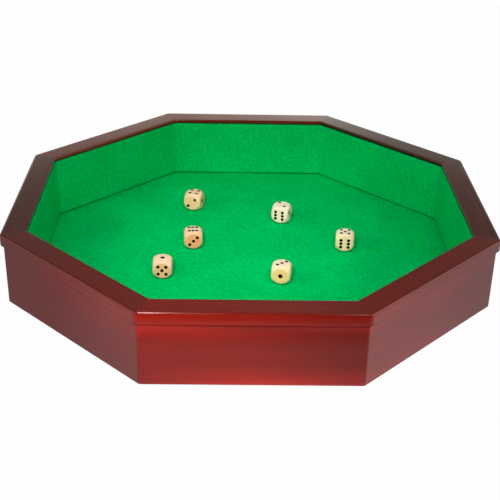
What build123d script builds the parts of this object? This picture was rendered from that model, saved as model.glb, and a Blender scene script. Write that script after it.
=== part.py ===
from build123d import *
import os
from math import cos, radians, tan

# Octagonal dice tray of stained wood, lined with green felt, with its six loose wooden dice.
# Millimetres. The origin is the middle of the underside, +Z is up and the front side faces -Y.

# Overall size of the tray
across_flats = 298.0
tray_height = 46.0

# Rim moulding: eight mitred rails on top of the walls. They overhang the walls outside and cover the
# card inside and part of the felt's thickness.
rim_height = 7.6
rim_overhang = 1.8
rim_lip = 2.3
rim_setback = 0.6
rim_corner_radius = 4.0
rim_top_radius = 1.5
rim_inner_radius = 0.7
rim_lower_radius = 1.0

# Wall boards: eight mitred boards that stand on the table
wall_thickness = 11.0
wall_corner_radius = 2.5
wall_foot_radius = 0.4
wall_shoulder_radius = 0.8

# Base panel, let into a rebate in the walls, and the felt glued on it
base_thickness = 2.0
base_ledge = 5.0
base_clearance = 0.2
floor_felt_thickness = 1.0
floor_felt_clearance = 0.1

# Wall lining: felt drawn over a card panel on each side, tucked under the rim's lip
card_thickness = 2.0
wall_felt_thickness = 1.0
wall_felt_fold_radius = 0.6
shadow_gap = 0.5

# Loose tongues glued across the mitres of the walls
tongue_thickness = 3.0
tongue_width = 8.0
tongue_setback = 6.0
tongue_clearance = 0.1

# Brads that hold the base panel up to the walls
brads_per_side = 2
brad_spacing = 60.0
brad_length = 14.0
brad_diameter = 1.2
brad_head_diameter = 2.4
brad_head_thickness = 0.5
brad_recess = 0.1
brad_clearance = 0.04

# Dice: cubes turned down by a sphere, with drilled pips painted black
die_size = 12.3
die_round_diameter = 16.1
pip_diameter = 2.05
single_pip_diameter = 2.7
pip_spacing = 2.5
pip_depth = 0.5
paint_thickness = 0.2

# How each die lies: place on the floor, turn about Z in degrees, value on top, value in front
die_throws = [
    (-38.65, 70.15, -17.5, 4, 2),
    (-37.4, 10.4, 5.0, 6, 3),
    (-55.1, -30.6, -1.6, 1, 5),
    (23.65, 50.65, -21.0, 2, 6),
    (20.2, -36.2, -10.2, 3, 1),
    (64.3, 9.05, -6.0, 5, 6),
]

# Going round counter-clockwise from the front, seen from above
side_names = ["front", "front_right", "right", "back_right", "back", "back_left", "left", "front_left"]

# Apothems, that is distances from the middle to a flat, and heights that follow from the sizes
side_angle = 360.0 / len(side_names)
half_side_angle = side_angle / 2
rim_outer = across_flats / 2
wall_outer = rim_outer - rim_overhang
wall_inner = wall_outer - wall_thickness
base_edge = wall_inner + base_ledge
card_face = wall_inner - card_thickness
felt_face = card_face - wall_felt_thickness
rim_inner = felt_face + rim_setback
wall_top = tray_height - rim_height
lip_underside = tray_height - rim_lip
lining_top = lip_underside - shadow_gap
card_top = lining_top - wall_felt_thickness
floor_top = base_thickness + floor_felt_thickness


def prism(apothem, bottom, top):
    """Upright octagonal prism with its flats square to the axes."""
    outline = RegularPolygon(apothem, len(side_names), major_radius=False, rotation=half_side_angle)
    return Pos(0, 0, bottom) * extrude(outline, top - bottom)


def ring(outer, inner, bottom, top):
    """Octagonal frame between two apothems."""
    return prism(outer, bottom, top) - prism(inner, bottom, top)


def front_wedge():
    """The slice of space that belongs to the front side, between its two mitre planes."""
    reach = across_flats
    spread = reach * tan(radians(half_side_angle))
    outline = Polygon((0, 0), (-spread, -reach), (spread, -reach), align=None)
    return extrude(outline, tray_height)


def outer_edges(face):
    return face.outer_wire().edges()


def inner_edges(face):
    return face.inner_wires()[0].edges()


def rim_rail():
    """Front rail: rounded moulding with a rebate under its inner lip for the felt panel."""
    blank = prism(rim_outer, wall_top, tray_height)
    blank = fillet(blank.edges().filter_by(Axis.Z), rim_corner_radius)
    frame = blank - prism(rim_inner, wall_top, tray_height)
    frame = fillet(outer_edges(frame.faces().sort_by(Axis.Z)[-1]), rim_top_radius)
    frame = fillet(inner_edges(frame.faces().sort_by(Axis.Z)[-1]), rim_inner_radius)
    frame = fillet(outer_edges(frame.faces().sort_by(Axis.Z)[0]), rim_lower_radius)
    frame = frame - prism(wall_inner, wall_top, lip_underside)
    return frame & front_wedge()


def tongue(allowance):
    """Loose tongue across the mitre at the right-hand end of the front board."""
    mitre_distance = (wall_outer + wall_inner) / 2 / cos(radians(half_side_angle))
    height = wall_top - 2 * tongue_setback + 2 * allowance
    block = Box(tongue_width + 2 * allowance, tongue_thickness + 2 * allowance, height)
    return Rot(0, 0, half_side_angle) * Pos(0, -mitre_distance, wall_top / 2) * block


def brad_places():
    """Points along the front board where its brads go in."""
    middle = (brads_per_side - 1) / 2
    across = (wall_inner + base_edge) / 2
    return [((index - middle) * brad_spacing, -across) for index in range(brads_per_side)]


def brad(allowance):
    """One brad with its head down, grown all round by the allowance of its hole."""
    shank_radius = brad_diameter / 2 + allowance
    head_radius = brad_head_diameter / 2 + allowance
    shank = Cylinder(shank_radius, brad_length, align=(Align.CENTER, Align.CENTER, Align.MIN))
    head = Cylinder(head_radius, brad_head_thickness, align=(Align.CENTER, Align.CENTER, Align.MIN))
    return Pos(0, 0, brad_recess) * (shank + head)


def brad_hole():
    """Hole for one brad, open below its head."""
    mouth_radius = brad_head_diameter / 2 + brad_clearance
    mouth = Cylinder(mouth_radius, brad_recess, align=(Align.CENTER, Align.CENTER, Align.MIN))
    return brad(brad_clearance) + mouth


def wall_board():
    """Front board, with the base panel's rebate, tongue grooves and brad holes."""
    blank = prism(wall_outer, 0, wall_top)
    blank = fillet(blank.edges().filter_by(Axis.Z), wall_corner_radius)
    frame = blank - prism(wall_inner, 0, wall_top)
    frame = fillet(outer_edges(frame.faces().sort_by(Axis.Z)[-1]), wall_shoulder_radius)
    frame = fillet(outer_edges(frame.faces().sort_by(Axis.Z)[0]), wall_foot_radius)
    frame = frame - prism(base_edge, 0, base_thickness)
    board = frame & front_wedge()
    board = board - tongue(tongue_clearance) - Rot(0, 0, -side_angle) * tongue(tongue_clearance)
    for x, y in brad_places():
        board = board - Pos(x, y, 0) * brad_hole()
    return board


def base_panel():
    """Thin octagonal panel that closes the tray below, drilled for the brads."""
    panel = prism(base_edge - base_clearance, 0, base_thickness)
    for index in range(len(side_names)):
        for x, y in brad_places():
            panel = panel - Rot(0, 0, index * side_angle) * Pos(x, y, 0) * brad_hole()
    return panel


def floor_felt():
    return prism(wall_inner - floor_felt_clearance, base_thickness, floor_top)


def lining_card():
    """Front card panel that stiffens the wall felt."""
    return ring(wall_inner, card_face, floor_top, card_top) & front_wedge()


def wall_felt():
    """Front felt: its face, rounded where it turns at the foot, and the fold over the card's top edge."""
    sheet = ring(wall_inner, felt_face, floor_top, lining_top)
    sheet = fillet(inner_edges(sheet.faces().sort_by(Axis.Z)[-1]), wall_felt_fold_radius)
    sheet = fillet(inner_edges(sheet.faces().sort_by(Axis.Z)[0]), wall_felt_fold_radius)
    sheet = sheet - ring(wall_inner, card_face, floor_top, card_top)
    return sheet & front_wedge()


# A die as it is numbered: outward direction of each value in the die's own frame
value_directions = {
    1: Vector(0, 0, 1),
    2: Vector(0, -1, 0),
    3: Vector(1, 0, 0),
    4: Vector(-1, 0, 0),
    5: Vector(0, 1, 0),
    6: Vector(0, 0, -1),
}

# Pips of each value, in steps of the pip spacing from the middle of the face
value_pips = {
    1: [(0, 0, 0)],
    2: [(-1, 0, 1), (1, 0, -1)],
    3: [(0, 1, 1), (0, 0, 0), (0, -1, -1)],
    4: [(0, 1, 1), (0, 1, -1), (0, -1, 1), (0, -1, -1)],
    5: [(1, 0, 1), (1, 0, -1), (0, 0, 0), (-1, 0, 1), (-1, 0, -1)],
    6: [(1, 1, 0), (1, 0, 0), (1, -1, 0), (-1, 1, 0), (-1, 0, 0), (-1, -1, 0)],
}


def pip_cylinders(thickness, height_above_bottom):
    """A cylinder in every pip of the die, starting at the given height above the pip's bottom."""
    cylinders = []
    for value, outward in value_directions.items():
        radius = (single_pip_diameter if value == 1 else pip_diameter) / 2
        start = die_size / 2 - pip_depth + height_above_bottom
        for step in value_pips[value]:
            place = Plane(outward * start + Vector(*step) * pip_spacing, z_dir=outward)
            cylinders.append(place * Cylinder(radius, thickness, align=(Align.CENTER, Align.CENTER, Align.MIN)))
    return cylinders


def die_body():
    """Wooden die: a cube rounded by a sphere, with its pips drilled."""
    body = Box(die_size, die_size, die_size) & Sphere(die_round_diameter / 2)
    return body - pip_cylinders(die_size, 0)


def thrown(shape, x, y, turn, top_value, front_value):
    """Turn a die so that the two values lie on top and in front, and set it on the floor felt."""
    top = value_directions[top_value]
    front = value_directions[front_value]
    lying = Plane((0, 0, 0), x_dir=top.cross(front), z_dir=top).location.inverse()
    return Location((x, y, floor_top + die_size / 2), (0, 0, turn)) * lying * shape


def save(shape, name):
    """Write one node and check that its solids are sound."""
    solids = shape.solids()
    assert solids and all(solid.is_valid for solid in solids), name
    export_step(solids[0] if len(solids) == 1 else Compound(solids), f"parts/{name}.step")


def save_round(piece, prefix):
    """Write the front piece and its seven turned copies."""
    for index, side in enumerate(side_names):
        save(Rot(0, 0, index * side_angle) * piece, f"{prefix}_{side}")


def all_round(pieces):
    """The pieces of the front side, repeated on every side."""
    return [Rot(0, 0, index * side_angle) * piece for index in range(len(side_names)) for piece in pieces]


def build_tray():
    save(base_panel(), "base_panel")
    save(floor_felt(), "floor_felt")
    save_round(wall_board(), "wall")
    save_round(rim_rail(), "rim")
    save_round(lining_card(), "lining_card")
    save_round(wall_felt(), "wall_felt")
    save(Compound(all_round([tongue(0)])), "mitre_tongues")
    save(Compound(all_round([Pos(x, y, 0) * brad(0) for x, y in brad_places()])), "base_brads")


def build_dice():
    body = die_body()
    paint = Compound(pip_cylinders(paint_thickness, 0))
    for number, throw in enumerate(die_throws, start=1):
        save(thrown(body, *throw), f"die_{number}")
        save(thrown(paint, *throw), f"die_{number}_pips")


os.makedirs("parts", exist_ok=True)
build_tray()
build_dice()
print("across flats", across_flats, "height", tray_height, "playing floor", 2 * felt_face)
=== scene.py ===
import random
from math import cos, pi, radians, sin, sqrt, tan

import bmesh
import bpy
from mathutils import Matrix, Quaternion, Vector, noise


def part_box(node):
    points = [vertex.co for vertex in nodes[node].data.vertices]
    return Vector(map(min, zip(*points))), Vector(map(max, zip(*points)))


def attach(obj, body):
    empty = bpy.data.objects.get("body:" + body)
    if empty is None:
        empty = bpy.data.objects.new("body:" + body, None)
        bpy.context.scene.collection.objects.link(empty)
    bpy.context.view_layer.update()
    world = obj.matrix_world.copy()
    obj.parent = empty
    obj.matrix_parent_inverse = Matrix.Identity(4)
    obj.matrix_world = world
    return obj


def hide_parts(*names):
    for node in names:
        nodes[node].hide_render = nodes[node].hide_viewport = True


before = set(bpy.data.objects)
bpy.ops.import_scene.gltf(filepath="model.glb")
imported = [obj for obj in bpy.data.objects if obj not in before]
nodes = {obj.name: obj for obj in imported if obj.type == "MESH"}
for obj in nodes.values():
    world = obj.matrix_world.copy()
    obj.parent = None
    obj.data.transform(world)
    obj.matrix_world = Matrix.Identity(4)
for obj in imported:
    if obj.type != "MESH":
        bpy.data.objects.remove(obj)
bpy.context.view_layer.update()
print("frame loaded,", len(nodes), "nodes")

mm = 0.001
sideNames = ["front", "front_right", "right", "back_right", "back", "back_left", "left", "front_left"]
sideCount = len(sideNames)
sideTurn = radians(360 / sideCount)
halfTurn = sideTurn / 2

# Reaches are distances from the middle to a flat, read from the front pieces of the frame
rimLow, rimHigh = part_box("rim_front")
wallLow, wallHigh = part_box("wall_front")
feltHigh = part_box("wall_felt_front")[1]
floorLow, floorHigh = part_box("floor_felt")
rimOuter, rimInner = -rimLow.y, -rimHigh.y
wallOuter, wallInner = -wallLow.y, -wallHigh.y
feltFace, floorReach = -feltHigh.y, -floorLow.y
rimTop, wallTop = rimHigh.z, rimLow.z
feltTop, floorTop = feltHigh.z, floorHigh.z


# Helpers for meshes

def meshFrom(bm, name):
    mesh = bpy.data.meshes.new(name)
    bm.to_mesh(mesh)
    bm.free()
    return mesh


def newObject(name, data):
    item = bpy.data.objects.new(name, data)
    bpy.context.scene.collection.objects.link(item)
    return item


def shadeSmooth(mesh, sharpAngle=180):
    mesh.polygons.foreach_set("use_smooth", [True] * len(mesh.polygons))
    mesh.set_sharp_from_angle(angle=radians(sharpAngle))


def placePiece(name, mesh, material, body, replaced):
    mesh.materials.clear()
    mesh.materials.append(material)
    piece = newObject(name, mesh)
    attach(piece, body)
    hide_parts(replaced)
    return piece


def trayPiece(name, bm, index, material, replaced, sharpAngle):
    # drawn on the front side and turned to its own
    bmesh.ops.transform(bm, matrix=Matrix.Rotation(index * sideTurn, 4, "Z"), verts=bm.verts)
    bmesh.ops.remove_doubles(bm, verts=bm.verts, dist=0.002 * mm)
    bmesh.ops.recalc_face_normals(bm, faces=bm.faces)
    mesh = meshFrom(bm, name)
    shadeSmooth(mesh, sharpAngle)
    return placePiece(name, mesh, material, "tray", replaced)


def skinRows(bm, rows):
    # each row is a closed loop of vertices, and both ends get a cap
    for first, second in zip(rows, rows[1:]):
        for place in range(len(first)):
            after = (place + 1) % len(first)
            bm.faces.new((first[place], first[after], second[after], second[place]))
    bm.faces.new(rows[0])
    bm.faces.new(list(reversed(rows[-1])))


def arc(reach, height, radius, start, end, steps):
    angles = [radians(start + (end - start) * step / steps) for step in range(steps + 1)]
    return [(reach + radius * cos(angle), height + radius * sin(angle)) for angle in angles]


def clamped(value):
    return min(max(value, 0.0), 1.0)


def forSide(values, side):
    return values.get(side, values["others"])


def blendAlong(values, share):
    # values at the left end, the middle and the right end; share runs from -1 to 1
    left, middle, right = values
    return middle + max(share, 0.0) * (right - middle) + max(-share, 0.0) * (left - middle)


# Helpers for materials

def hexColour(text):
    parts = [int(text[place:place + 2], 16) / 255 for place in (1, 3, 5)]
    linear = [part / 12.92 if part <= 0.04045 else ((part + 0.055) / 1.055) ** 2.4 for part in parts]
    return (*linear, 1.0)


def addNode(tree, kind, settings=None, stops=(), **links):
    # settings are the node's own properties, and stops a ramp's places with a hex colour or grey level.
    # links give inputs, by name or as i and a number, a value, a node or one output of a node.
    node = tree.nodes.new("ShaderNode" + kind)
    for key, value in (settings or {}).items():
        setattr(node, key, value)
    if stops:
        node.color_ramp.elements.remove(node.color_ramp.elements[1])
    for number, (place, colour) in enumerate(stops):
        element = node.color_ramp.elements.new(place) if number else node.color_ramp.elements[0]
        element.position = place
        element.color = hexColour(colour) if isinstance(colour, str) else (colour, colour, colour, 1)
    for key, value in links.items():
        if key[0] == "i" and key[1:].isdigit():
            socket = node.inputs[int(key[1:])]
        else:
            name = key.replace("_", " ")
            socket = next(item for item in node.inputs if item.enabled and item.name == name)
        if isinstance(value, bpy.types.Node):
            value = next(item for item in value.outputs if item.enabled)
        if isinstance(value, bpy.types.NodeSocket):
            tree.links.new(value, socket)
        else:
            socket.default_value = value
    return node


def newMaterial(name):
    material = bpy.data.materials.new(name)
    material.use_nodes = True
    material.node_tree.nodes.clear()
    return material, material.node_tree


def grainScale(lengthMm, acrossMm):
    # one unit per pattern length along the grain, and per width across it
    return (1 / (lengthMm * mm), 1 / (acrossMm * mm), 1 / (acrossMm * mm))


colourMix = {"data_type": "RGBA"}
colourMultiply = {"data_type": "RGBA", "blend_type": "MULTIPLY"}


# Mahogany-stained hardwood under satin lacquer: deep red, fine lengthwise streaks that barely show
# through the stain, and a grey veil where the lacquer mirrors a pale surround

mahogany = {
    "stain": [(0.3, "#87180e"), (0.5, "#931c11"), (0.7, "#9f2216")],
    "figureMm": (70, 9),
    "streakMm": (60, 1.1),
    "streakShare": 0.45,
    "poreMm": (7, 0.45),        # real pores are 0.2 mm wide, drawn coarser so that they show
    "poreEdge": (0.6, 0.75),
    "poreDepth": 0.25,
    "roughness": (0.09, 0.17),
    "shine": 0.5,
    "bareRoughness": 0.75,      # where no lacquer was sprayed
    "bareShine": 0.05,
    "bumpMm": 0.012,
}


def stainedMahogany():
    material, tree = newMaterial("mahogany_stain_lacquered")
    grain = addNode(tree, "Attribute", {"attribute_name": "grain"}).outputs["Vector"]
    bare = addNode(tree, "Attribute", {"attribute_name": "bare"}).outputs["Fac"]
    stain = addNode(tree, "Attribute", {"attribute_name": "stain"}).outputs["Fac"]
    figurePlace, streakPlace, porePlace = (
        addNode(tree, "Mapping", Vector=grain, Scale=grainScale(*mahogany[key]))
        for key in ("figureMm", "streakMm", "poreMm"))
    figure = addNode(tree, "TexNoise", Vector=figurePlace, Scale=1, Detail=2, Distortion=0.5)
    streak = addNode(tree, "TexNoise", Vector=streakPlace, Scale=1, Detail=4, Roughness=0.55, Distortion=0.2)
    pores = addNode(tree, "TexNoise", Vector=porePlace, Scale=1, Detail=1)
    tone = addNode(tree, "Mix", Factor=mahogany["streakShare"], A=figure, B=streak)
    wood = addNode(tree, "ValToRGB", stops=mahogany["stain"], Fac=tone)
    poreFrom, poreTo = mahogany["poreEdge"]
    poreStops = [(poreFrom, 1.0), (poreTo, 1.0 - mahogany["poreDepth"])]
    poreShade = addNode(tree, "ValToRGB", stops=poreStops, Fac=pores)
    wood = addNode(tree, "Mix", colourMultiply, Factor=1.0, A=wood, B=poreShade)
    # the stain attribute darkens or brightens the wood: the stain's strength together with painted light and
    # shade
    wood = addNode(tree, "Mix", colourMultiply, Factor=1.0, A=wood, B=stain)
    bump = addNode(tree, "Bump", Height=streak, Strength=0.3, Distance=mahogany["bumpMm"] * mm)
    smooth, dull = mahogany["roughness"]
    satin = addNode(tree, "MapRange", Value=streak, To_Min=smooth, To_Max=dull)
    rough = addNode(tree, "Mix", Factor=bare, A=satin, B=mahogany["bareRoughness"])
    shine = addNode(tree, "MapRange", Value=bare, To_Min=mahogany["shine"], To_Max=mahogany["bareShine"])
    shader = addNode(tree, "BsdfPrincipled", Base_Color=wood, Roughness=rough, IOR=1.5,
                     Specular_IOR_Level=shine, Normal=bump)
    addNode(tree, "OutputMaterial", Surface=shader)
    return material


# Wool-blend felt, dyed green and pressed: matt, softly mottled, with short fibres lying every way

felt = {
    "nap": [(0.385, "#009345"), (0.53, "#00bc5b"), (0.66, "#00d871")],
    "sheen": "#00c060",
    "fibreMm": 0.6,
    "fibreBendMm": 2.4,
    "fibreTurn": (0.4, 0.7, 1.3),
    "fibreShare": 0.65,
    "clumpMm": 2.0,
    "patchMm": 38,
    "patchShare": 0.4,
    "bumpMm": 0.35,
    "creaseMm": 1.2,            # painted shade: darker in creases and under the dice, by how enclosed each point is
    "creaseOpenness": (0.22, 0.68),
    "creaseShade": 0.2,
}


def greenFelt():
    material, tree = newMaterial("green_felt_pressed")
    place = addNode(tree, "TexCoord").outputs["Object"]
    clumpScale, patchScale = 1 / (felt["clumpMm"] * mm), 1 / (felt["patchMm"] * mm)
    wander = addNode(tree, "TexNoise", Vector=place, Scale=clumpScale, Detail=2).outputs["Color"]
    bent = addNode(tree, "VectorMath", {"operation": "MULTIPLY_ADD"}, i0=wander,
                   i1=(felt["fibreBendMm"] * mm,) * 3, i2=place)
    turned = addNode(tree, "Mapping", Vector=bent, Rotation=felt["fibreTurn"])
    fibreScale = grainScale(felt["fibreMm"] * 4, felt["fibreMm"])
    fibresA, fibresB = (
        addNode(tree, "TexNoise", Vector=addNode(tree, "Mapping", Vector=vector, Scale=fibreScale),
                Scale=1, Detail=3, Roughness=0.6)
        for vector in (bent, turned))
    fibres = addNode(tree, "Math", {"operation": "MAXIMUM"}, i0=fibresA, i1=fibresB)
    clumps = addNode(tree, "TexNoise", Vector=place, Scale=clumpScale, Detail=3, Roughness=0.6)
    patches = addNode(tree, "TexNoise", Vector=place, Scale=patchScale, Detail=2)
    soft = addNode(tree, "Mix", Factor=felt["patchShare"], A=clumps, B=patches)
    tone = addNode(tree, "Mix", Factor=felt["fibreShare"], A=soft, B=fibres)
    colour = addNode(tree, "ValToRGB", stops=felt["nap"], Fac=tone)
    # painted shade in creases and under the dice, from how enclosed the felt is
    openness = addNode(tree, "AmbientOcclusion", {"samples": 8}, Distance=felt["creaseMm"] * mm)
    fullShadeAt, noShadeAt = felt["creaseOpenness"]
    shade = addNode(tree, "MapRange", Value=openness.outputs["AO"], From_Min=fullShadeAt, From_Max=noShadeAt,
                    To_Min=felt["creaseShade"])
    colour = addNode(tree, "Mix", colourMultiply, Factor=1.0, A=colour, B=shade)
    bump = addNode(tree, "Bump", Height=tone, Strength=0.6, Distance=felt["bumpMm"] * mm)
    shader = addNode(tree, "BsdfPrincipled", Base_Color=colour, Roughness=0.95, Specular_IOR_Level=0.0,
                     Sheen_Weight=0.15, Sheen_Roughness=0.5, Sheen_Tint=hexColour(felt["sheen"]), Normal=bump)
    addNode(tree, "OutputMaterial", Surface=shader)
    return material


# Natural hardwood dice, turned round and waxed: the roundings are pale and polished, and the sawn flats
# are painted with the light and shade of the way they face, with faint growth rings and fibres

diceWood = {
    "ringMm": 1.7,
    "ringWobbleMm": 6,
    "pithMm": (4, 26, -17),
    "fibreMm": (7, 0.35),
    "fibreShare": 0.75,
    "fibreDepth": 0.1,
    "roughness": 0.42,
    "bumpMm": 0.03,
}


def paleWood(name, roundShade, flatLitColours):
    # the colours of the flats across X, Y and Z in the die's own frame, each painted with the light or shade
    # of the way it faces
    material, tree = newMaterial(name)
    grain = addNode(tree, "Attribute", {"attribute_name": "grain"}).outputs["Vector"]
    pith = [part * mm for part in diceWood["pithMm"]]
    fromPith = addNode(tree, "VectorMath", {"operation": "SUBTRACT"}, i0=grain, i1=pith)
    across = addNode(tree, "VectorMath", {"operation": "MULTIPLY"}, i0=fromPith, i1=(0, 1, 1))
    reach = addNode(tree, "VectorMath", {"operation": "LENGTH"}, i0=across).outputs["Value"]
    wobble = addNode(tree, "TexNoise", Vector=grain, Scale=1 / (diceWood["ringWobbleMm"] * mm), Detail=2)
    turns = addNode(tree, "Math", {"operation": "MULTIPLY_ADD"}, i0=reach,
                    i1=1 / (diceWood["ringMm"] * mm), i2=wobble)
    rings = addNode(tree, "Math", {"operation": "FRACT"}, i0=turns)
    fibrePlace = addNode(tree, "Mapping", Vector=grain, Scale=grainScale(*diceWood["fibreMm"]))
    fibres = addNode(tree, "TexNoise", Vector=fibrePlace, Scale=1, Detail=3, Roughness=0.6)
    tone = addNode(tree, "Mix", Factor=diceWood["fibreShare"], A=rings, B=fibres)
    flat = addNode(tree, "Attribute", {"attribute_name": "flat"}).outputs["Vector"]
    shares = addNode(tree, "SeparateXYZ", Vector=flat)
    colour = hexColour(roundShade)
    for axis, shade in zip("XYZ", flatLitColours):
        colour = addNode(tree, "Mix", colourMix, Factor=shares.outputs[axis], A=colour, B=hexColour(shade))
    fibreTone = addNode(tree, "ValToRGB", stops=[(0.3, 1.0), (0.7, 1.0 - diceWood["fibreDepth"])], Fac=tone)
    colour = addNode(tree, "Mix", colourMultiply, Factor=1.0, A=colour, B=fibreTone)
    bump = addNode(tree, "Bump", Height=fibres, Strength=0.15, Distance=diceWood["bumpMm"] * mm)
    shader = addNode(tree, "BsdfPrincipled", Base_Color=colour, Roughness=diceWood["roughness"], Normal=bump)
    addNode(tree, "OutputMaterial", Surface=shader)
    return material


# Black lacquer dabbed into the drilled pips: near black, hardly shiny, slightly uneven

lacquer = {
    "black": [(0.3, "#090200"), (0.7, "#110602")],
    "unevenMm": 0.6,
    "bumpMm": 0.05,
}


def pipLacquer():
    material, tree = newMaterial("pip_lacquer_black")
    place = addNode(tree, "TexCoord").outputs["Object"]
    uneven = addNode(tree, "TexNoise", Vector=place, Scale=1 / (lacquer["unevenMm"] * mm), Detail=2)
    colour = addNode(tree, "ValToRGB", stops=lacquer["black"], Fac=uneven)
    bump = addNode(tree, "Bump", Height=uneven, Strength=0.3, Distance=lacquer["bumpMm"] * mm)
    shader = addNode(tree, "BsdfPrincipled", Base_Color=colour, Roughness=0.5, Specular_IOR_Level=0.06,
                     Normal=bump)
    addNode(tree, "OutputMaterial", Surface=shader)
    return material


# Birch plywood and beech, sanded and left bare: pale, with fine darker streaks and soft clouds

sandedWood = {
    # the name, the dark and the light tone, and the streaks' length and width in mm
    "base_panel": ("birch_plywood_sanded", "#b8925e", "#d9bd8e", (70, 2.5)),
    "mitre_tongues": ("beech_tongues", "#b98f63", "#d8b58c", (30, 1.0)),
    "cloudMm": 60,
    "cloudShare": 0.35,
    "bumpMm": 0.08,
}


def bareWood(name, dark, light, streakMm):
    material, tree = newMaterial(name)
    place = addNode(tree, "TexCoord").outputs["Object"]
    streakPlace = addNode(tree, "Mapping", Vector=place, Scale=grainScale(*streakMm))
    streak = addNode(tree, "TexNoise", Vector=streakPlace, Scale=1, Detail=4, Roughness=0.6, Distortion=0.4)
    clouds = addNode(tree, "TexNoise", Vector=place, Scale=1 / (sandedWood["cloudMm"] * mm), Detail=2)
    tone = addNode(tree, "Mix", Factor=sandedWood["cloudShare"], A=streak, B=clouds)
    colour = addNode(tree, "ValToRGB", stops=[(0.3, dark), (0.7, light)], Fac=tone)
    bump = addNode(tree, "Bump", Height=streak, Strength=0.3, Distance=sandedWood["bumpMm"] * mm)
    shader = addNode(tree, "BsdfPrincipled", Base_Color=colour, Roughness=0.75, Normal=bump)
    addNode(tree, "OutputMaterial", Surface=shader)
    return material


# Grey board, pressed from waste paper: matt, speckled with pulp

paperBoard = {
    "tones": [(0.35, "#7d7464"), (0.65, "#a89c88")],
    "pulpMm": 1.2,
    "bumpMm": 0.05,
}


def greyBoard():
    material, tree = newMaterial("grey_board")
    place = addNode(tree, "TexCoord").outputs["Object"]
    pulp = addNode(tree, "TexNoise", Vector=place, Scale=1 / (paperBoard["pulpMm"] * mm), Detail=5,
                   Roughness=0.7)
    colour = addNode(tree, "ValToRGB", stops=paperBoard["tones"], Fac=pulp)
    bump = addNode(tree, "Bump", Height=pulp, Strength=0.3, Distance=paperBoard["bumpMm"] * mm)
    shader = addNode(tree, "BsdfPrincipled", Base_Color=colour, Roughness=0.9, Normal=bump)
    addNode(tree, "OutputMaterial", Surface=shader)
    return material


# Drawn steel wire with a struck head: bright, faintly scratched

steelWire = {
    "tones": [(0.3, "#9a9a9c"), (0.7, "#c6c6c8")],
    "scratchMm": (2, 0.2),
    "roughness": (0.28, 0.45),
}


def brightSteel():
    material, tree = newMaterial("steel_wire_bright")
    place = addNode(tree, "TexCoord").outputs["Object"]
    scratchPlace = addNode(tree, "Mapping", Vector=place, Scale=grainScale(*steelWire["scratchMm"]))
    scratch = addNode(tree, "TexNoise", Vector=scratchPlace, Scale=1, Detail=2)
    colour = addNode(tree, "ValToRGB", stops=steelWire["tones"], Fac=scratch)
    polished, scuffed = steelWire["roughness"]
    rough = addNode(tree, "MapRange", Value=scratch, To_Min=polished, To_Max=scuffed)
    shader = addNode(tree, "BsdfPrincipled", Base_Color=colour, Roughness=rough, Metallic=1.0)
    addNode(tree, "OutputMaterial", Surface=shader)
    return material


woodFinish = stainedMahogany()
feltFinish = greenFelt()
pipFinish = pipLacquer()
print("materials ready")


# Boards and rails: one profile drawn along a side, mitred at both ends, with the octagon's outer
# corners rounded in plan. A profile is a closed loop of (reach, height).

board = {
    "cornerSteps": 4,
    "straightSteps": 24,
    "seamDepthMm": 0.008,       # the mitres show as hairline seams
    "seamWidthMm": 0.12,
    "sharpAngle": 35,
}


def boardStations():
    # (end, angle in the rounded corner, distance of that point from the mitre) at the two ends, and
    # (0, share of the straight length, 0) between them
    corners, straights = board["cornerSteps"], board["straightSteps"]
    width = board["seamWidthMm"] * mm
    corner = [(halfTurn * (1 - step / corners), width * step / corners) for step in range(corners + 1)]
    left = [(-1, angle, inset) for angle, inset in corner]
    right = [(1, angle, inset) for angle, inset in reversed(corner)]
    return left + [(0, -1 + 2 * step / straights, 0) for step in range(1, straights)] + right


def boardPoint(reach, height, station, outerReach, cornerRadius):
    end, value, inset = station
    rounding = max(0.0, cornerRadius - (outerReach - reach))
    centreReach = reach - rounding
    edge = centreReach * tan(halfTurn)
    if end == 0:
        return Vector((value * (edge - board["seamWidthMm"] * mm), -reach, height))
    sideways = edge + rounding * sin(value) - inset
    return Vector((end * sideways, -(centreReach + rounding * cos(value)), height))


def shrunkLoop(profile, depth):
    # the same loop, moved inwards by depth
    count = len(profile)
    shrunk = []
    for place, (reach, height) in enumerate(profile):
        before, after = profile[place - 1], profile[(place + 1) % count]
        run, rise = after[0] - before[0], after[1] - before[1]
        size = sqrt(run * run + rise * rise)
        shrunk.append((reach - depth * rise / size, height + depth * run / size))
    return shrunk


def makeBoard(name, profile, bareFlags, toneAt, outerReach, cornerRadius, index, replaced):
    # the attributes are the grain's own coordinates, where no lacquer lies, and the stain's strength, into
    # which painted light and shade are mixed
    bm = bmesh.new()
    grainLayer = bm.verts.layers.float_vector.new("grain")
    bareLayer = bm.verts.layers.float.new("bare")
    stainAndShadeLayer = bm.verts.layers.float.new("stain")
    shift = Vector((random.uniform(0, 3), random.uniform(0, 3), random.uniform(0, 3)))
    stations = boardStations()
    seam = shrunkLoop(profile, board["seamDepthMm"] * mm)
    rows = []
    for number, station in enumerate(stations):
        atMitre = number in (0, len(stations) - 1)
        row = []
        for place, (reach, height) in enumerate(seam if atMitre else profile):
            vertex = bm.verts.new(boardPoint(reach, height, station, outerReach, cornerRadius))
            vertex[grainLayer] = vertex.co + shift
            vertex[bareLayer] = bareFlags[place]
            vertex[stainAndShadeLayer] = toneAt(place, vertex.co.x / (outerReach * tan(halfTurn)))
            row.append(vertex)
        rows.append(row)
    skinRows(bm, rows)
    piece = trayPiece(name, bm, index, woodFinish, replaced, board["sharpAngle"])
    flats = piece.modifiers.new("flats", "WEIGHTED_NORMAL")     # keeps the flats flat beside rounded edges
    flats.keep_sharp = True
    flats.weight = 90


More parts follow.
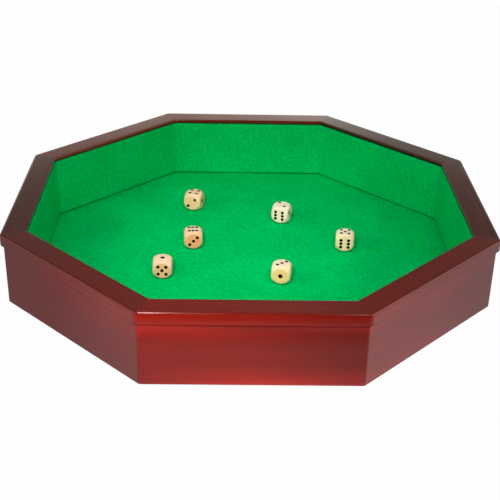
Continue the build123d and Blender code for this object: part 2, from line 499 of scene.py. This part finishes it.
rail = {
    "cornerRadiusMm": 4.0,
    "topRadiusMm": 1.5,
    "innerRadiusMm": 0.7,
    "lowerRadiusMm": 1.0,
    "lipMm": 2.3,
    # painted shade: share of the stain's red that shows on top, darker on each side by how the light falls on
    # its grain
    "paintedTopShade": {"front": 0.44, "front_right": 0.45, "right": 0.24, "back_right": 0.2,
                 "back": 0.51, "back_left": 0.43, "left": 0.19, "front_left": 0.3},
    # painted light and shade on the outer faces, as a share of the stain, at the left end, the middle and the
    # right end
    "paintedFaceLight": {"front": (1.0, 0.84, 0.7), "front_right": (1.18, 0.91, 0.71),
                  "front_left": (0.41, 0.62, 0.69), "others": (1.0, 1.0, 1.0)},
    # painted light and shade: share of the top's tone just inside the inner edge, and down at the felt,
    # darkest in the shade under the lip
    "lipPaintedShade": {"back": (1.1, 0.6), "back_left": (1.5, 0.8), "front": (0.4, 0.3),
                  "front_right": (0.4, 0.3), "front_left": (0.4, 0.3), "others": (0.95, 0.3)},
    "edgeMm": 0.7,              # how far out on the top that starts
    "lacquerEndMm": 0.07,       # how far down inside the lacquer runs on the front rails
    "underBare": 0.8,           # how bare the rounding below the face is
}


def railProfile(side):
    shadedTop = rail["paintedTopShade"][side]
    high, low = forSide(rail["lipPaintedShade"], side)
    top, inner, lower = (rail[key] * mm for key in ("topRadiusMm", "innerRadiusMm", "lowerRadiusMm"))
    lipUnderside = rimTop - rail["lipMm"] * mm
    outside = arc(rimOuter - lower, wallTop + lower, lower, -90, 0, steps=5)
    outside += arc(rimOuter - top, rimTop - top, top, 0, 90, steps=7)
    inside = [(rimInner + inner + rail["edgeMm"] * mm, rimTop)]
    inside += arc(rimInner + inner, rimTop - inner, inner, 90, 180, steps=5)
    inside += [(rimInner, rimTop - inner + (lipUnderside - rimTop + inner) * step / 3) for step in (1, 2, 3)]
    hidden = [(wallInner, lipUnderside), (wallInner, wallTop)]
    # the top is painted darker than the face, as shade, and changes over on the rounded edge
    shadedTones, faceShares, bare = [], [], []
    for reach, height in outside:
        shadedTones.append(shadedTop)
        faceShares.append(clamped((rimTop - height) / top))
        bare.append(rail["underBare"] * clamped(2 * (1.0 - (height - wallTop) / lower)))
    for reach, height in inside:
        fall = (rimTop - height) / (rimTop - lipUnderside)
        shadedTones.append(shadedTop * (1.0 if reach == inside[0][0] else high + (low - high) * fall))
        faceShares.append(0.0)
        bare.append(clamped((rimTop - height) / (rail["lacquerEndMm"] * mm)) if "front" in side else 0.0)
    return outside + inside + hidden, bare + [1.0, 1.0], shadedTones + [low, low], faceShares + [0.0, 0.0]


def makeRails():
    for index, side in enumerate(sideNames):
        profile, bare, shadedTones, faceShares = railProfile(side)
        paintedFaceLight = forSide(rail["paintedFaceLight"], side)

        def toneAt(place, share):
            return shadedTones[place] + (blendAlong(paintedFaceLight, share) - shadedTones[place]) * faceShares[place]

        makeBoard(f"rail_{side}", profile, bare, toneAt, rimOuter, rail["cornerRadiusMm"] * mm, index,
                  f"rim_{side}")


wall = {
    "cornerRadiusMm": 2.5,
    "footRadiusMm": 0.4,
    "shoulderRadiusMm": 0.8,
    "rebateReachMm": 5.0,
    "rebateHeightMm": 2.0,
    "faceHeightsMm": (1.5, 3, 6, 10, 14, 18, 24, 28, 32, 35, 36.5),
    # strength of the stain's colour at the left end, the middle and the right end, partly the board's own
    # stain and partly painted light and shade
    "tones": {"front": (0.82, 0.84, 0.54), "front_right": (1.02, 1.02, 0.67),
              "front_left": (0.49, 0.52, 0.63), "others": (0.9, 0.9, 0.9)},
    # painted light: how much brighter it is at the foot, where the table throws light back, and at the
    # shoulder under the rail
    "footPaintedLight": {"front": (0.15, 1.3, 1.5), "front_right": (0.35, 0.2, 0.0),
                  "front_left": (0.1, 0.0, -0.2), "others": (0.3, 0.3, 0.3)},
    "shoulderPaintedLight": {"front": (1.1, 0.0, 0.8), "front_right": (0.3, 0.3, 0.3),
                      "front_left": (0.0, 0.2, 0.4), "others": (0.3, 0.3, 0.3)},
    "footFadeMm": 20,
    "shoulderFadeMm": 12.4,
    # painted light on the last bit under the rail, which lifts the shade that the rail casts there
    "underRailPaintedLight": 0.3,
    "underRailMm": 2.2,
}


def wallProfile():
    foot, shoulder = wall["footRadiusMm"] * mm, wall["shoulderRadiusMm"] * mm
    rounded = arc(wallOuter - foot, foot, foot, -90, 0, steps=5)
    rounded += [(wallOuter, height * mm) for height in wall["faceHeightsMm"]]
    rounded += arc(wallOuter - shoulder, wallTop - shoulder, shoulder, 0, 90, steps=4)
    rebateReach = wallInner + wall["rebateReachMm"] * mm
    rebateTop = wall["rebateHeightMm"] * mm
    plain = [(wallInner, wallTop), (wallInner, rebateTop), (rebateReach, rebateTop), (rebateReach, 0.0)]
    return rounded + plain, [0.0] * len(rounded) + [1.0] * len(plain)


def makeWalls():
    profile, bare = wallProfile()
    for index, side in enumerate(sideNames):
        tones, footPaintedLight, shoulderPaintedLight = (forSide(wall[key], side)
                                           for key in ("tones", "footPaintedLight", "shoulderPaintedLight"))

        def toneAt(place, share):
            height = profile[place][1]
            # painted light at the foot and at the shoulder
            foot = clamped(1.0 - height / (wall["footFadeMm"] * mm)) ** 2
            shoulder = clamped(1.0 - (wallTop - height) / (wall["shoulderFadeMm"] * mm)) ** 2
            under = clamped(1.0 - (wallTop - height) / (wall["underRailMm"] * mm))
            tone = blendAlong(tones, share) * (1.0 + blendAlong(footPaintedLight, share) * foot)
            tone *= 1.0 + blendAlong(shoulderPaintedLight, share) * shoulder
            return tone * (1.0 + wall["underRailPaintedLight"] * under)

        makeBoard(f"board_{side}", profile, bare, toneAt, wallOuter, wall["cornerRadiusMm"] * mm, index,
                  f"wall_{side}")


random.seed(11)
makeRails()
makeWalls()
print("rails and boards made")


# Felt: the wall panels have soft turned edges, and the floor cloth lies a hair unevenly

feltPanel = {
    "thicknessMm": 1.0,
    "foldRadiusMm": 0.9,
    "foldSteps": 5,
    "footRadiusMm": 0.35,
    "footSteps": 4,
    "footLiftMm": {"right": 0.25, "left": 0.25, "others": 0.8},    # the foot stops short of the floor cloth
    "hemThicknessMm": 0.2,      # the trimmed edge that shows behind the foot
    "hemLiftMm": 0.05,
    "wavesMm": 0.12,
    "waveLengthMm": 14,
    "columns": 56,
    "calmColumns": 4,           # the waves die away towards the mitres
    "rows": 18,
    "sharpAngle": 60,
}


def panelProfile(side):
    # the felt's front from foot to fold, then its hidden side
    fold, foot, thick = (feltPanel[key] * mm for key in ("foldRadiusMm", "footRadiusMm", "thicknessMm"))
    rows, bottom = feltPanel["rows"], floorTop + forSide(feltPanel["footLiftMm"], side) * mm
    low, high = bottom + foot, feltTop - fold
    face = arc(feltFace + foot, low, foot, 270, 180, feltPanel["footSteps"])
    face += [(feltFace, low + (high - low) * step / rows) for step in range(1, rows)]
    face += arc(feltFace + fold, high, fold, 180, 90, feltPanel["foldSteps"])
    hidden = feltFace + thick
    hem, hemFoot = hidden - feltPanel["hemThicknessMm"] * mm, floorTop + feltPanel["hemLiftMm"] * mm
    back = [(wallInner, feltTop), (wallInner, feltTop - thick), (hidden, feltTop - thick)]
    return face, back + [(hidden, hemFoot), (hem, hemFoot), (hem, bottom)]


def makeWallFelt(side, index):
    face, back = panelProfile(side)
    columns, calmColumns = feltPanel["columns"], feltPanel["calmColumns"]
    waves, length = feltPanel["wavesMm"] * mm, feltPanel["waveLengthMm"] * mm
    wavy = range(feltPanel["footSteps"] + 1, len(face) - feltPanel["foldSteps"] - 1)
    bm = bmesh.new()
    rows = []
    for column in range(columns + 1):
        share = -1 + 2 * column / columns
        calm = min(column, columns - column, calmColumns) / calmColumns
        row = []
        for place, (reach, height) in enumerate(face + back):
            point = Vector((share * reach * tan(halfTurn), -reach, height))
            if place in wavy:
                lift = noise.noise(point / length + Vector((index * 7.0, 0, 0)))    # each side its own waves
                point.y -= waves * (0.5 + 0.5 * lift) * calm
            row.append(bm.verts.new(point))
        rows.append(row)
    skinRows(bm, rows)
    piece = trayPiece(f"felt_{side}", bm, index, feltFinish, f"wall_felt_{side}",
                      feltPanel["sharpAngle"])


floorCloth = {
    "ringStepMm": 2.0,
    "sinkMm": 0.12,
    "waveLengthMm": 22,
    "sharpAngle": 60,
}


def octagonRing(bm, reach, pieces):
    # vertices round the octagon, so many pieces to a side, from the right end of the front
    corner = reach / cos(halfTurn)
    angles = [halfTurn + index * sideTurn for index in range(sideCount)]
    corners = [Vector((corner * sin(angle), -corner * cos(angle), floorTop)) for angle in angles]
    return [bm.verts.new(corners[index].lerp(corners[(index + 1) % sideCount], step / pieces))
            for index in range(sideCount) for step in range(pieces)]


def makeFloorCloth():
    # rings of triangles, each with one more piece to a side than the ring inside it
    ringCount = round(floorReach / (floorCloth["ringStepMm"] * mm))
    bm = bmesh.new()
    rings = [[bm.verts.new((0, 0, floorTop))]]
    for ring in range(1, ringCount + 1):
        inner, outer = rings[-1], octagonRing(bm, floorReach * ring / ringCount, ring)
        for index in range(sideCount):
            for step in range(ring):
                low, high = outer[index * ring + step], outer[(index * ring + step + 1) % len(outer)]
                near = index * (ring - 1) + step
                bm.faces.new((inner[near % len(inner)], low, high))
                if step:
                    bm.faces.new((inner[near % len(inner)], inner[(near - 1) % len(inner)], low))
        rings.append(outer)
    sink, length = floorCloth["sinkMm"] * mm, floorCloth["waveLengthMm"] * mm
    for vertex in bm.verts:
        vertex.co.z -= sink * (0.5 + 0.5 * noise.noise(vertex.co / length))
    edge = rings[-1]
    under = [bm.verts.new((vertex.co.x, vertex.co.y, floorLow.z)) for vertex in edge]
    for place in range(len(edge)):
        after = (place + 1) % len(edge)
        bm.faces.new((edge[place], under[place], under[after], edge[after]))
    bm.faces.new(list(reversed(under)))
    piece = trayPiece("floor_cloth", bm, 0, feltFinish, "floor_felt", floorCloth["sharpAngle"])


for index, side in enumerate(sideNames):
    makeWallFelt(side, index)
makeFloorCloth()
print("felt laid")


# Dice: a cube rounded by a sphere, with drilled pips. Each lies as it was thrown.

die = {
    "sizeMm": 12.3,
    "roundDiameterMm": 16.1,
    "blendMm": 0.6,
    "flatFadeMm": 0.3,          # over which a flat's tone changes to that of the rounding
    "cuts": 39,
    "pipDiameterMm": 2.05,
    "singlePipDiameterMm": 2.7,
    "pipSpacingMm": 2.5,
    "pipDepthMm": 0.5,
    "pipChamferMm": 0.09,       # the drill's burr was rubbed off, and the paint runs onto that bevel
    "pipSides": 28,
    "sharpAngle": 40,
    # turn about Z in degrees, value on top, value in front, then the wood's colour on the roundings, and the
    # colours on the flats that lie on top, in front and at the side, with painted light and shade for each
    # way they face
    "throws": [
        (-17.5, 4, 2, "#ffd8ac", "#fcdcb2", "#ffca94", "#f8cc90"),
        (5.0, 6, 3, "#f2c296", "#f0d8b2", "#f2a474", "#ecb880"),
        (-1.6, 1, 5, "#f6c9a4", "#f2d6b0", "#f0b084", "#ecc38c"),
        (-21.0, 2, 6, "#ffeacc", "#fff2d6", "#ffe3c8", "#fff0cc"),
        (-10.2, 3, 1, "#ffdeb0", "#f8e4c4", "#fccb8a", "#fae0a2"),
        (-6.0, 5, 6, "#ffe2b4", "#fff4d0", "#ffdcae", "#ffe4aa"),
    ],
}
dieHalf, roundRadius = die["sizeMm"] * mm / 2, die["roundDiameterMm"] * mm / 2
pipDepth, pipBevel = die["pipDepthMm"] * mm, die["pipChamferMm"] * mm

# Outward direction of each value in the die's own frame, and its pips in steps of their spacing
valueDirections = {1: (0, 0, 1), 2: (0, -1, 0), 3: (1, 0, 0), 4: (-1, 0, 0), 5: (0, 1, 0), 6: (0, 0, -1)}
valuePips = {
    1: [(0, 0, 0)],
    2: [(-1, 0, 1), (1, 0, -1)],
    3: [(0, 1, 1), (0, 0, 0), (0, -1, -1)],
    4: [(0, 1, 1), (0, 1, -1), (0, -1, 1), (0, -1, -1)],
    5: [(1, 0, 1), (1, 0, -1), (0, 0, 0), (-1, 0, 1), (-1, 0, -1)],
    6: [(1, 1, 0), (1, 0, 0), (1, -1, 0), (-1, 1, 0), (-1, 0, 0), (-1, -1, 0)],
}


def softMinimum(first, second, blend):
    # the lesser of the two, rounded over where they are close
    near = max(blend - abs(first - second), 0.0) / blend
    return min(first, second) - near * near * blend / 4


def dieBlankMesh():
    bm = bmesh.new()
    bmesh.ops.create_cube(bm, size=2.0)
    bmesh.ops.subdivide_edges(bm, edges=bm.edges, cuts=die["cuts"], use_grid_fill=True)
    for vertex in bm.verts:
        direction = vertex.co.normalized()
        flat = dieHalf / max(abs(part) for part in direction)
        vertex.co = direction * softMinimum(flat, roundRadius, die["blendMm"] * mm)
    return meshFrom(bm, "die_blank")


def lathe(bm, profile, matrix):
    # turns (radius, height) points about Z; points on the axis become single vertices
    sides = die["pipSides"]
    rings = []
    for radius, height in profile:
        angles = [2 * pi * side / sides for side in range(sides)] if radius else [0]
        rings.append([bm.verts.new(matrix @ Vector((radius * cos(angle), radius * sin(angle), height)))
                      for angle in angles])
    for first, second in zip(rings, rings[1:]):
        for side in range(sides):
            after = (side + 1) % sides
            corners = [first[side % len(first)], first[after % len(first)],
                       second[after % len(second)], second[side % len(second)]]
            bm.faces.new([corner for place, corner in enumerate(corners) if corner not in corners[:place]])


def pipShapes(name, profileAt):
    # one turned shape in every pip of the die
    bm = bmesh.new()
    for value, direction in valueDirections.items():
        outward = Vector(direction)
        turn = outward.to_track_quat("Z", "Y").to_matrix().to_4x4()
        diameter = die["singlePipDiameterMm"] if value == 1 else die["pipDiameterMm"]
        for step in valuePips[value]:
            centre = outward * die["sizeMm"] * mm / 2 + Vector(step) * die["pipSpacingMm"] * mm
            lathe(bm, profileAt(diameter / 2 * mm), Matrix.Translation(centre) @ turn)
    bmesh.ops.recalc_face_normals(bm, faces=bm.faces)
    return meshFrom(bm, name)


def drillProfile(radius):
    # a bottom that rises towards the wall, the wall, the bevel, and the drill's body outside the die
    return [(0, -pipDepth), (radius * 0.75, -pipDepth), (radius * 0.95, -pipDepth * 0.8),
            (radius, -pipDepth * 0.5), (radius, -pipBevel), (radius + pipBevel, 0),
            (radius + pipBevel, pipDepth), (0, pipDepth)]


def paintProfile(radius):
    # dished on top, drawn up over the bevel, and just clear of the wood below
    edge = radius * 0.985
    return [(0, -pipDepth * 0.4), (edge * 0.45, -pipDepth * 0.36), (edge * 0.8, -pipDepth * 0.2),
            (radius + pipBevel * 0.6, -pipBevel * 0.2), (radius + pipBevel * 0.8, -pipBevel * 0.12),
            (edge, -pipBevel * 1.2), (edge * 0.97, -pipDepth * 0.6), (edge * 0.7, -pipDepth * 0.96),
            (0, -pipDepth * 0.96)]


def dieWoodMesh():
    # the pips are cut once, and every die is a turned copy
    cutter = newObject("pip_drills", pipShapes("pip_drills", drillProfile))
    blank = newObject("die_blank", dieBlankMesh())
    cut = blank.modifiers.new("pips", "BOOLEAN")
    cut.operation = "DIFFERENCE"
    cut.solver = "EXACT"
    cut.object = cutter
    bpy.context.view_layer.update()
    mesh = bpy.data.meshes.new_from_object(blank.evaluated_get(bpy.context.evaluated_depsgraph_get()))
    for item in (cutter, blank):
        bpy.data.objects.remove(item)
    return mesh


def flatShares(point):
    # how far a point lies on the flats across X, Y and Z
    return [clamped((abs(part) - dieHalf) / (die["flatFadeMm"] * mm) + 1.0) for part in point]


def storeVectors(mesh, name, values):
    layer = mesh.attributes.new(name, "FLOAT_VECTOR", "POINT")
    layer.data.foreach_set("vector", [number for value in values for number in value])


def throwMatrix(number, turn, topValue, frontValue):
    low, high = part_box(f"die_{number}")
    top, front = Vector(valueDirections[topValue]), Vector(valueDirections[frontValue])
    lying = Matrix((top.cross(front), -front, top)).to_4x4()
    return Matrix.Translation((low + high) / 2) @ Matrix.Rotation(radians(turn), 4, "Z") @ lying


def makeDice():
    woodMesh, paintMesh = dieWoodMesh(), pipShapes("pip_paint", paintProfile)
    for number, throw in enumerate(die["throws"], start=1):
        turn, topValue, frontValue, roundShade, topLitColour, frontLitColour, sideLitColour = throw
        matrix = throwMatrix(number, turn, topValue, frontValue)
        # each flat gets the colour painted for the light on top, in front or at the side
        flatLitColours = [sideLitColour] * 3
        for value, shade in ((topValue, topLitColour), (frontValue, frontLitColour)):
            flatLitColours[[abs(part) for part in valueDirections[value]].index(1)] = shade
        body = woodMesh.copy()
        shift = Vector((random.uniform(0, 9), random.uniform(-3, 3), random.uniform(-3, 3))) * mm
        storeVectors(body, "grain", [vertex.co + shift for vertex in body.vertices])
        storeVectors(body, "flat", [flatShares(vertex.co) for vertex in body.vertices])
        body.transform(matrix)
        shadeSmooth(body, die["sharpAngle"])
        placePiece(f"wooden_die_{number}", body, paleWood(f"waxed_hardwood_{number}", roundShade, flatLitColours),
                   f"die_{number}", f"die_{number}")
        paint = paintMesh.copy()
        paint.transform(matrix)
        shadeSmooth(paint)
        placePiece(f"painted_pips_{number}", paint, pipFinish, f"die_{number}", f"die_{number}_pips")


random.seed(5)
makeDice()
print("dice made")


# Pieces whose CAD shape is right keep it and get their finish

def dressNode(name, material):
    mesh = nodes[name].data
    mesh.materials.clear()
    mesh.materials.append(material)


cardFinish = greyBoard()
for side in sideNames:
    dressNode(f"lining_card_{side}", cardFinish)
for name in ("base_panel", "mitre_tongues"):
    dressNode(name, bareWood(*sandedWood[name]))
dressNode("base_brads", brightSteel())
print("carried-over nodes dressed")


# Studio: a white table, soft lamps in front and at both sides, and strips overhead

view = {
    "elevation": 27.676,
    "azimuth": -1.321,
    "roll": 1.269,
    "aimMm": (0.762, 2.174, 4.178),
    "distanceMm": 686.43,
    "lens": 74.195,
    "sensorMm": 36.0,
}


def makeCamera():
    camera = newObject("camera", bpy.data.cameras.new("camera"))
    azimuth, elevation = radians(view["azimuth"]), radians(view["elevation"])
    back = Vector((sin(azimuth) * cos(elevation), -cos(azimuth) * cos(elevation), sin(elevation)))
    camera.location = Vector(view["aimMm"]) * mm + back * view["distanceMm"] * mm
    camera.rotation_mode = "QUATERNION"
    roll = Quaternion((0, 0, 1), radians(view["roll"]))
    camera.rotation_quaternion = (-back).to_track_quat("-Z", "Y") @ roll
    camera.data.lens = view["lens"]
    camera.data.sensor_width = view["sensorMm"]
    camera.data.clip_start = 0.01
    bpy.context.scene.camera = camera


# Each is its place, aim and size across and along in mm, watts and cone in degrees (0 for a flat panel)
lamps = {
    "right_softbox": ((250, -520, 620), (0, -60, 20), (240, 240), 0.8, 0),
    "left_wash": ((-600, -250, 450), (0, -60, 20), (300, 300), 0.9, 0),
    "close_lamp": ((-60, -262, 207), (-20, -80, 20), (110, 110), 0.22, 0),
    "beam": ((-125, -640, 520), (-11, -4, 3), (90, 90), 15.0, 17.6),
    "low_fill": ((0, -700, 330), (0, 0, 20), (300, 300), 0.7, 0),
}
# Strips show only in the lacquer, as highlights along the front edge
strips = {
    "high_strip": ((-106, -204, 620), (-106, -149, 46), (34, 634), 1.3, 0),
    "high_panel": ((-76, -204, 620), (-76, -149, 46), (100, 560), 0.17, 0),
    "high_corner": ((139, -204, 620), (139, -149, 46), (20, 634), 0.16, 0),
}
stripTint = "#ffcfc6"


def makeLamps():
    for name, (place, aim, (across, along), watts, cone) in {**lamps, **strips}.items():
        light = bpy.data.lights.new(name, "SPOT" if cone else "AREA")
        light.energy = watts
        if cone:
            light.spot_size = radians(cone)
            light.spot_blend = 1.0
            light.shadow_soft_size = across / 2 * mm
        else:
            light.shape = "ELLIPSE"
            light.size = across * mm
            light.size_y = along * mm
        if name in strips:
            light.color = hexColour(stripTint)[:3]
        lamp = newObject(name, light)
        lamp.location = Vector(place) * mm
        lamp.rotation_mode = "QUATERNION"
        lamp.rotation_quaternion = (Vector(aim) * mm - lamp.location).to_track_quat("-Z", "Y")
        lamp.visible_camera = False
        lamp.visible_glossy = name in strips
        lamp.visible_diffuse = name in lamps


room = {
    "ambient": 0.36,
    # the backdrop that the lacquer mirrors: (degrees above the table, brightness)
    "mirrored": [(0, 1.6), (19.5, 1.6), (20.8, 0.8), (22, 0.37), (22.7, 0.28), (24, 0.245), (26.5, 0.245),
                 (31, 0.26), (36, 0.22), (45, 0.12), (90, 0.05)],
    # its share of that at so many degrees to the right of straight behind
    "mirroredAcross": [(-90, 0.45), (-60, 0.45), (-45, 0.1), (-35, 0.1), (-20, 0.7), (-13, 1.1), (-10, 0.9),
                       (-5, 0.95), (-3.2, 0.72), (-1, 0.92), (2, 1.0), (5, 1.25), (7.5, 0.95), (9.5, 0.75),
                       (14, 0.78), (17, 1.0), (22, 0.6), (35, 0.1), (45, 0.1), (60, 0.45), (90, 0.45)],
    "mirroredTint": "#fffaea",
    # brightness of the room's side walls, which the rounded edges mirror
    "leftWall": 1.0,
    "rightWall": 1.6,
    "wallEdge": (0.78, 0.88),       # sine of the bearing over which they begin
    "frontEdge": (-0.2, 0.1),       # the room in front is dark, up to this cosine of the bearing
}


def makeRoom():
    world = bpy.data.worlds.new("surroundings")
    bpy.context.scene.world = world
    world.use_nodes = True
    tree = world.node_tree
    tree.nodes.clear()
    headroom = 2        # a ramp holds levels up to 1, so both go in halved, and the strength makes up for it
    heightStops = [(sin(radians(angle)), level / headroom) for angle, level in room["mirrored"]]
    sideStops = [((sin(radians(angle)) + 1) / 2, share / headroom) for angle, share in room["mirroredAcross"]]
    direction = addNode(tree, "TexCoord").outputs["Generated"]
    height = addNode(tree, "SeparateXYZ", Vector=direction).outputs["Z"]
    flattened = addNode(tree, "VectorMath", {"operation": "MULTIPLY"}, i0=direction, i1=(1, 1, 0))
    bearing = addNode(tree, "VectorMath", {"operation": "NORMALIZE"}, i0=flattened)
    rightwards, backwards = addNode(tree, "SeparateXYZ", Vector=bearing).outputs[:2]
    side = addNode(tree, "MapRange", Value=rightwards, From_Min=-1.0)
    dark, bright = room["frontEdge"]
    behind = addNode(tree, "MapRange", Value=backwards, From_Min=dark, From_Max=bright)
    upwards = addNode(tree, "ValToRGB", stops=heightStops, Fac=height)
    across = addNode(tree, "ValToRGB", stops=sideStops, Fac=side)
    mirrored = addNode(tree, "Mix", colourMultiply, Factor=1.0, A=upwards, B=across)
    mirrored = addNode(tree, "Mix", colourMultiply, Factor=1.0, A=mirrored, B=behind)
    wallFrom, wallTo = room["wallEdge"]
    for sign, brightness in ((1, room["rightWall"]), (-1, room["leftWall"])):
        outwards = addNode(tree, "Math", {"operation": "MULTIPLY"}, i0=rightwards, i1=sign)
        sideWall = addNode(tree, "MapRange", {"interpolation_type": "SMOOTHSTEP"}, Value=outwards,
                           From_Min=wallFrom, From_Max=wallTo, To_Max=brightness / headroom ** 2)
        mirrored = addNode(tree, "Mix", {"data_type": "RGBA", "blend_type": "LIGHTEN"}, Factor=1.0,
                           A=mirrored, B=sideWall)
    mirrored = addNode(tree, "Mix", colourMultiply, Factor=1.0, A=mirrored, B=hexColour(room["mirroredTint"]))
    soft = addNode(tree, "Background", Color=(1, 1, 1, 1), Strength=room["ambient"])
    shiny = addNode(tree, "Background", Color=mirrored, Strength=headroom ** 2)
    white = addNode(tree, "Background", Color=(1, 1, 1, 1), Strength=1.0)
    path = addNode(tree, "LightPath")
    lit = addNode(tree, "MixShader", i0=path.outputs["Is Glossy Ray"], i1=soft, i2=shiny)
    mixed = addNode(tree, "MixShader", i0=path.outputs["Is Camera Ray"], i1=lit, i2=white)
    addNode(tree, "OutputWorld", Surface=mixed)


table = {
    "colour": "#c8c8c8",
    "shown": 0.985,             # share of plain white that the camera sees, and the rest shows the shadow
    "halfSizeMm": 6000,
    "gapMm": 0.02,
    # painted reflection: how bright the table glows in the lacquer, though nothing lights it there: (mm in
    # front of the tray, brightness)
    "front": [(85, 0.0), (70, 0.02), (66, 0.3), (62, 0.6), (58, 0.45), (54, 0.15), (48, 0.25),
              (36, 0.52), (10, 0.55), (0, 0.6)],
    # the same at the left and at the right: (mm behind the tray's front, brightness)
    "left": [(0, 0.74), (22, 0.66), (40, 0.54), (57, 0.44), (80, 0.44)],
    "right": [(0, 0.95), (40, 0.84), (75, 0.7), (80, 0.7)],
    "sideFromMm": 2,            # in front of the tray, where these take over
}


def whiteTable():
    material, tree = newMaterial("white_table")
    paper = addNode(tree, "BsdfDiffuse", Color=hexColour(table["colour"]))
    glow = addNode(tree, "Emission", Color=(1, 1, 1, 1), Strength=1.0)
    trayFront = -wallOuter
    widest, deepest = table["front"][0][0] * mm, table["left"][-1][0] * mm
    frontStops = [(1 - gap * mm / widest, level) for gap, level in table["front"]]
    leftStops, rightStops = ([(gap * mm / deepest, level) for gap, level in table[key]]
                             for key in ("left", "right"))
    place = addNode(tree, "TexCoord").outputs["Object"]
    rightwards, backwards = addNode(tree, "SeparateXYZ", Vector=place).outputs[:2]
    nearness = addNode(tree, "MapRange", Value=backwards, From_Min=trayFront - widest, From_Max=trayFront)
    depth = addNode(tree, "MapRange", Value=backwards, From_Min=trayFront, From_Max=trayFront + deepest)
    front = addNode(tree, "ValToRGB", stops=frontStops, Fac=nearness)
    left = addNode(tree, "ValToRGB", stops=leftStops, Fac=depth)
    right = addNode(tree, "ValToRGB", stops=rightStops, Fac=depth)
    onRight = addNode(tree, "Math", {"operation": "GREATER_THAN"}, i0=rightwards, i1=0.0)
    beside = addNode(tree, "Math", {"operation": "GREATER_THAN"}, i0=backwards,
                     i1=trayFront - table["sideFromMm"] * mm)
    side = addNode(tree, "Mix", colourMix, Factor=onRight, A=left, B=right)
    level = addNode(tree, "Mix", colourMix, Factor=beside, A=front, B=side)
    # painted reflection: the table glows in these bands only for the lacquer's reflections
    sheen = addNode(tree, "Emission", Color=level, Strength=1.0)
    path = addNode(tree, "LightPath")
    share = addNode(tree, "Math", {"operation": "MULTIPLY"}, i0=path.outputs["Is Camera Ray"],
                    i1=table["shown"])
    shown = addNode(tree, "MixShader", i0=share, i1=paper, i2=glow)
    mixed = addNode(tree, "MixShader", i0=path.outputs["Is Glossy Ray"], i1=shown, i2=sheen)
    addNode(tree, "OutputMaterial", Surface=mixed)
    return material


def makeTable():
    bm = bmesh.new()
    bmesh.ops.create_grid(bm, x_segments=1, y_segments=1, size=table["halfSizeMm"] * mm)
    tableTop = newObject("table_top", meshFrom(bm, "table_top"))
    tableTop.location.z = -table["gapMm"] * mm
    tableTop.data.materials.append(whiteTable())


makeCamera()
makeLamps()
makeRoom()
makeTable()
bpy.context.scene.view_settings.view_transform = "Standard"
print("studio ready")
